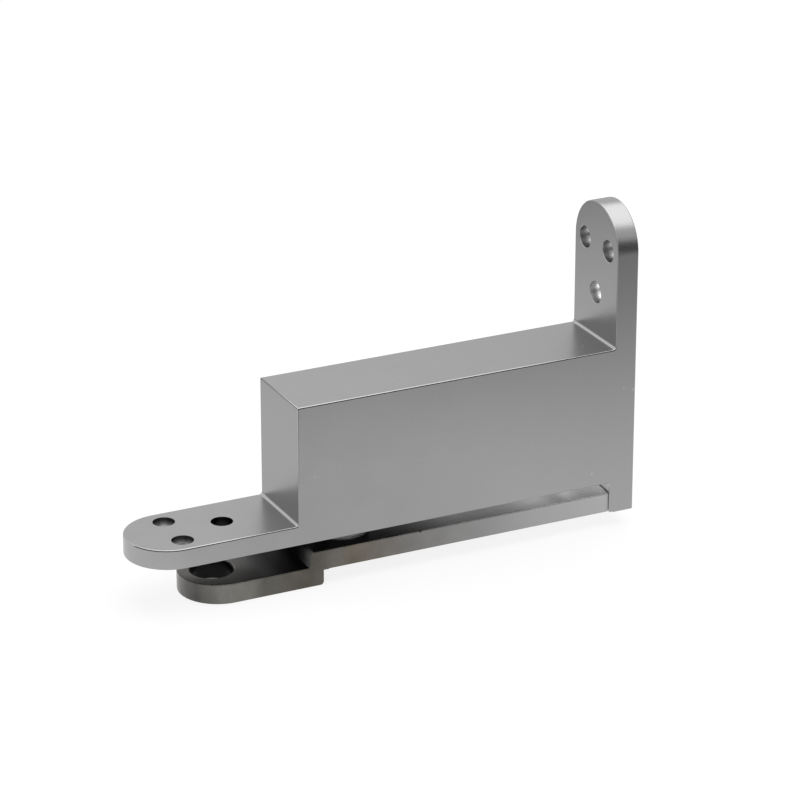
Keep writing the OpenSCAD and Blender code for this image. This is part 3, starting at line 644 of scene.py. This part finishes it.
# %% [markdown]
# ## Smooth copies of the CAD pieces
# A CAD piece arrives as loose flat triangles, and metal would show each one as a facet. The
# piece could be smoothed with a subdivision surface, but that would pull the holes out of
# round. Instead a copy is merged into one skin and shaded smooth, edges over 32 degrees are
# kept sharp, and weighted normals keep the large faces flat, so that only the small rounded
# edges carry the light.

# %% Merge and smooth a mesh
MERGE = 0.002 * MM
SHARP = math.radians(32)


def smooth_mesh(node, name):
    """A merged, smooth-shaded copy of a CAD node's mesh."""
    mesh = bpy.data.meshes.new(name)
    bm = bmesh.new()
    bm.from_mesh(frame["nodes"][node].data)
    bmesh.ops.remove_doubles(bm, verts=bm.verts, dist=MERGE)
    for face in bm.faces:
        face.smooth = True
        face.material_index = 0
    bm.to_mesh(mesh)
    bm.free()
    stale = mesh.attributes.get("custom_normal")
    if stale:
        mesh.attributes.remove(stale)
    mesh.set_sharp_from_angle(angle=SHARP)
    return mesh


print("loose corners in the housing's CAD mesh:", len(frame["nodes"]["housing"].data.vertices))

# %% Dress the housing
FACE_WEIGHT = 100


def smooth_copy(node, piece_name, body, material):
    """A new piece that stands for a CAD node and moves with the same body."""
    mesh = smooth_mesh(node, piece_name)
    mesh.materials.append(material)
    piece = bpy.data.objects.new(piece_name, mesh)
    bpy.context.scene.collection.objects.link(piece)
    even = piece.modifiers.new("even_normals", "WEIGHTED_NORMAL")
    even.keep_sharp = True
    even.weight = FACE_WEIGHT
    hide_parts(node)
    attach(piece, body)
    print(piece_name, "triangles:", len(mesh.polygons))
    return piece


smooth_copy("housing", "housing_skin", "housing_body", satin_chrome)

# %% [markdown]
# ## Forged steel
# The arm is plain steel. At the foot and the crank the forging's skin is left: dark,
# slightly brown, pitted. Towards the tail it has been ground and plated like the housing. Two
# materials on two parts of the mesh would meet in a hard line, so it is one material whose
# colour changes along the arm, with one run of colours for the sides and others for the
# top faces. Besides the finish, these colours carry painted shade and painted reflection: the
# sides are darker under the block and vary around the foot's round end, and the top faces are
# painted dark in the shade under the tongue and the block and bright towards the tail.

# %% Forged steel: the sides, with painted shade and reflection
SIDE_FINISH_AND_SHADE = [(-12, (0.19, 0.184, 0.173)), (-11, (0.14, 0.137, 0.132)), (-9, (0.097, 0.095, 0.092)),
        (-6.5, (0.135, 0.132, 0.123)), (-3, (0.2, 0.196, 0.183)), (8, (0.2, 0.194, 0.177)),
        (13, (0.13, 0.124, 0.11)), (20, (0.137, 0.129, 0.115)), (30, (0.112, 0.101, 0.085)),
        (38, (0.158, 0.15, 0.138)), (45, (0.17, 0.15, 0.121)), (55, (0.188, 0.173, 0.155)),
        (65, (0.222, 0.216, 0.207)), (75, (0.246, 0.243, 0.238)), (95, (0.295, 0.295, 0.294)),
        (115, (0.37, 0.37, 0.371)), (141, (0.415, 0.415, 0.418))]
forged_steel, tree = new_material("forged_steel")
skin = place_group(tree, cast_skin, Cloud_Scale=160, Grain_Scale=1500, Speck_Share=0.3)
x, y, z = coordinates(tree, "Object")
steel = colour_stops(tree, x, SIDE_FINISH_AND_SHADE)

# %% Forged steel: painted shade and light on the upper level's top and the foot's top
TOP_SHADE_AND_LIGHT = [(30, 0.02), (50, 0.02), (55, 0.03), (60, 0.06), (70, 0.19), (80, 0.36), (88, 0.42), (95, 0.44),
       (101, 0.45), (107, 0.47), (111, 0.56), (115, 0.72), (119, 0.87), (130, 0.9), (141, 0.92)]
# Painted shade: the foot's top darkens towards the crank, under the tongue and the block.
FOOT_TOP_SHADE = [(-12, 0.12), (3, 0.14), (10, 0.07), (16, 0.017), (22, 0.006), (30, 0.006)]
OXIDE_TINT = (1, 0.97, 0.92)
UPPER_LEVEL, FOOT_LEVEL = (12, 13), (6, 8)
UP = (0.8, 1.1)
upward = facing(tree, "Z", *UP)
arm_top = product(tree, upward, between(tree, z, *UPPER_LEVEL))
foot_top = product(tree, upward, between(tree, z, *FOOT_LEVEL))
steel = mix_colour(tree, arm_top, steel, grey_stops(tree, x, TOP_SHADE_AND_LIGHT))
steel = mix_colour(tree, foot_top, steel, grey_stops(tree, x, FOOT_TOP_SHADE, OXIDE_TINT))
print("steel tones:", len(SIDE_FINISH_AND_SHADE) + len(TOP_SHADE_AND_LIGHT) + len(FOOT_TOP_SHADE))

# %% [markdown]
# ## The crank's riser, the floor bore and the tail
# Three places on the arm are different again. The riser, the step between foot and upper
# level, stands in the block's shadow and gets painted shade, black towards the back. The
# bore gets painted shade too and is nearly black. The tail's upper edge gets a painted
# highlight. As on the housing, each is a mask and a tone.

# %% Forged steel: painted shade on riser and bore, a painted highlight on the tail
RISER_SHADE = [(-14, 0.3), (-12, 0.24), (-8, 0.07), (-4, 0.015), (0, 0.004), (14, 0.004)]
RISER_X, RISER_Z, RISER_LEFT = (26, 33), (7.02, 12.38), (-1.1, -0.12)
BORE_SHADE, BORE_REACH, BORE_Z = (0.012, 0.012, 0.012), 7.6, (0.3, 6.8)
TAIL_HIGHLIGHT, TAIL_X = (0.92, 0.92, 0.92), (135, 145)
TAIL_RIGHT, TAIL_UP = (0.15, 1.1), (0.1, 0.99)
riser = product(tree, between(tree, x, *RISER_X), between(tree, z, *RISER_Z),
                facing(tree, "X", *RISER_LEFT))
floor_bore = bore_mask(tree, (x, y), z, (0, 0), BORE_REACH, *BORE_Z)
tail_edge = product(tree, between(tree, x, *TAIL_X), facing(tree, "X", *TAIL_RIGHT),
                    facing(tree, "Z", *TAIL_UP))
steel = mix_colour(tree, riser, steel, grey_stops(tree, y, RISER_SHADE))
steel = mix_colour(tree, floor_bore, steel, BORE_SHADE)
steel = mix_colour(tree, tail_edge, steel, TAIL_HIGHLIGHT)
print("forged steel nodes:", len(tree.nodes))

# %% Forged steel: pits and clouds, strong at the crank and faint at the tail
PIT_TONE, PIT_X, PIT_Z = (0.03, 0.028, 0.026), (28, 72), (10.4, 12.5)
CLOUD_FADE, CLOUD_AT_CRANK, CLOUD_AT_TAIL = (50, 95), 0.25, 0.02
CLOUD_SWING = (-0.5, 0.5)
pits = product(tree, skin["Speck"], between(tree, z, *PIT_Z), between(tree, x, *PIT_X))
steel = mix_colour(tree, pits, steel, PIT_TONE)
clouds = product(tree, remap(tree, skin["Cloud"], *NOISE_SPAN, *CLOUD_SWING),
                 along(tree, x, *CLOUD_FADE, CLOUD_AT_CRANK, CLOUD_AT_TAIL))
clouded = add_node(tree, "ShaderNodeVectorMath", operation="SCALE")
tree.links.new(steel, clouded.inputs[0])
tree.links.new(math_node(tree, "ADD", clouds, 1), clouded.inputs["Scale"])
print("clouds, share of the tone:", CLOUD_AT_CRANK, "to", CLOUD_AT_TAIL)

# %% [markdown]
# ## Gloss of the arm
# Ground steel is smoother than a forging's skin, so roughness and relief change along the arm
# too. A single roughness would let the dark crank glint at flat angles. Oxide, the riser and
# the rounded upper edge are rougher, and grain fades out towards the tail and on top.

# %% Forged steel: roughness, then dress the arm
STEEL_ROUGH, STEEL_GRAIN, STEEL_BUMP = 0.25, 0.05, 0.3
OXIDE_ROUGH, RISER_ROUGH, EDGE_ROUGH = 0.3, 0.6, 0.35
FORGED_FADE, FORGED_AT_TAIL, FORGED_ON_TOP = (55, 85), 0.03, 0.12
OXIDE_START, OXIDE_END = (12, 20), (56, 46)
EDGE_UP = (0.2, 0.97)
forged = product(tree, along(tree, x, *FORGED_FADE, 1.0, FORGED_AT_TAIL),
                 remap(tree, upward, 0, 1, 1, FORGED_ON_TOP))
oxide = product(tree, upward, along(tree, x, *OXIDE_START), along(tree, x, *OXIDE_END))
upper_edge = product(tree, facing(tree, "Y", *ROUNDED), facing(tree, "Z", *EDGE_UP))
rough_grain = product(tree, remap(tree, skin["Grain"], *NOISE_SPAN, -STEEL_GRAIN, STEEL_GRAIN), forged)
steel_rough = fold(tree, "ADD", rough_grain, STEEL_ROUGH, product(tree, oxide, OXIDE_ROUGH),
                   product(tree, riser, RISER_ROUGH), product(tree, upper_edge, EDGE_ROUGH))
relief = product(tree, math_node(tree, "SUBTRACT", skin["Grain"], pits), forged)
finish_metal(forged_steel, tree, clouded.outputs[0], steel_rough, relief, STEEL_BUMP)
smooth_copy("arm", "arm_skin", "arm_body", forged_steel)
print("roughness of the bare steel:", STEEL_ROUGH)

# %% [markdown]
# ## Small parts
# Collar, washers, bolt, plug and valves are turned on a lathe, the bushes are bronze, and the
# gasket and seals are dark and dull. Each could have a material written out by hand, but
# they differ only in tone and roughness, so one function makes them all from a short table.
# They use the same skin as the castings, with a finer grain and no specks.

# %% A table of small finishes
TURNED_SCALES = {"Cloud_Scale": 200, "Grain_Scale": 3000, "Speck_Share": 0.0}
DARK_SHARE, ROUGH_SPREAD, TURNED_BUMP = 0.85, 0.08, 0.15
FINISHES = {
    "collar_steel": ((0.68, 0.68, 0.68), 0.55),
    "zinc_steel": ((0.5, 0.51, 0.53), 0.25),
    "plug_steel": ((0.36, 0.36, 0.37), 0.3),
    "ground_steel": ((0.5, 0.5, 0.5), 0.2),
    "spring_steel": ((0.18, 0.18, 0.19), 0.35),
    "valve_brass": ((0.6, 0.48, 0.24), 0.28),
    "bronze": ((0.45, 0.3, 0.15), 0.35),
    "gasket_sheet": ((0.05, 0.045, 0.04), 0.7),
    "seal_rubber": ((0.02, 0.02, 0.02), 0.6),
}


def small_finish(name, colour, roughness):
    """A material with faint clouds in its colour and a fine grain."""
    material, tree = new_material(name)
    skin = place_group(tree, cast_skin, **TURNED_SCALES)
    dark = tuple(DARK_SHARE * share for share in colour)
    clouded = mix_colour(tree, remap(tree, skin["Cloud"], *NOISE_SPAN), dark, colour)
    rough = remap(tree, skin["Grain"], *NOISE_SPAN, roughness, roughness + ROUGH_SPREAD)
    finish_metal(material, tree, clouded, rough, skin["Grain"], TURNED_BUMP)
    return material


metals = {name: small_finish(name, *finish) for name, finish in FINISHES.items()}
print("small finishes:", len(metals))

# %% [markdown]
# ## The closing spring
# The spring's coils close up when the piston comes back. The spring is one solid in the
# CAD frame, so it would stand still and cut into the piston. Each coil could be its own piece
# with its own motion, but a spring shortens evenly, so squashing the whole piece along its
# axis towards its seat would be enough. Here the spring only gets a smooth copy in spring
# steel with a mesh of its own, and it is not squashed.

# %% Dress the spring
spring = smooth_copy("closing_spring", "closing_spring_coils", "housing_body",
                     metals["spring_steel"])
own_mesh(spring)

# %% [markdown]
# ## The other pieces
# Turned pieces that can be seen get a smooth copy, as the castings did. The pieces inside
# keep their CAD nodes, whose shape is right, and only get their material. Which node has
# which finish and rides on which body stands in the record.

# %% Dress what is left
SEEN_PIECES = ("bearing_collar", "thrust_washer", "arm_washer", "arm_bolt", "end_plug",
               "closing_valve", "latching_valve")
slot_of = {row["node"]: row["material_slot"] for row in frame["record"]["subparts"]}
bodies = frame["record"]["behaviour"]["bodies"]
body_of = {node: body for body, nodes in bodies.items() for node in nodes}
for node in SEEN_PIECES:
    smooth_copy(node, node + "_turned", body_of[node], metals[slot_of[node]])
for node, obj in frame["nodes"].items():
    if slot_of[node] in metals:
        obj.data.materials.clear()
        obj.data.materials.append(metals[slot_of[node]])
print("nodes with a small finish:", sum(slot in metals for slot in slot_of.values()))

# %% [markdown]
# ## The end
# The plain Standard view shows colours as they are.

# %% Finish with the plain Standard view
bpy.context.scene.view_settings.view_transform = "Standard"
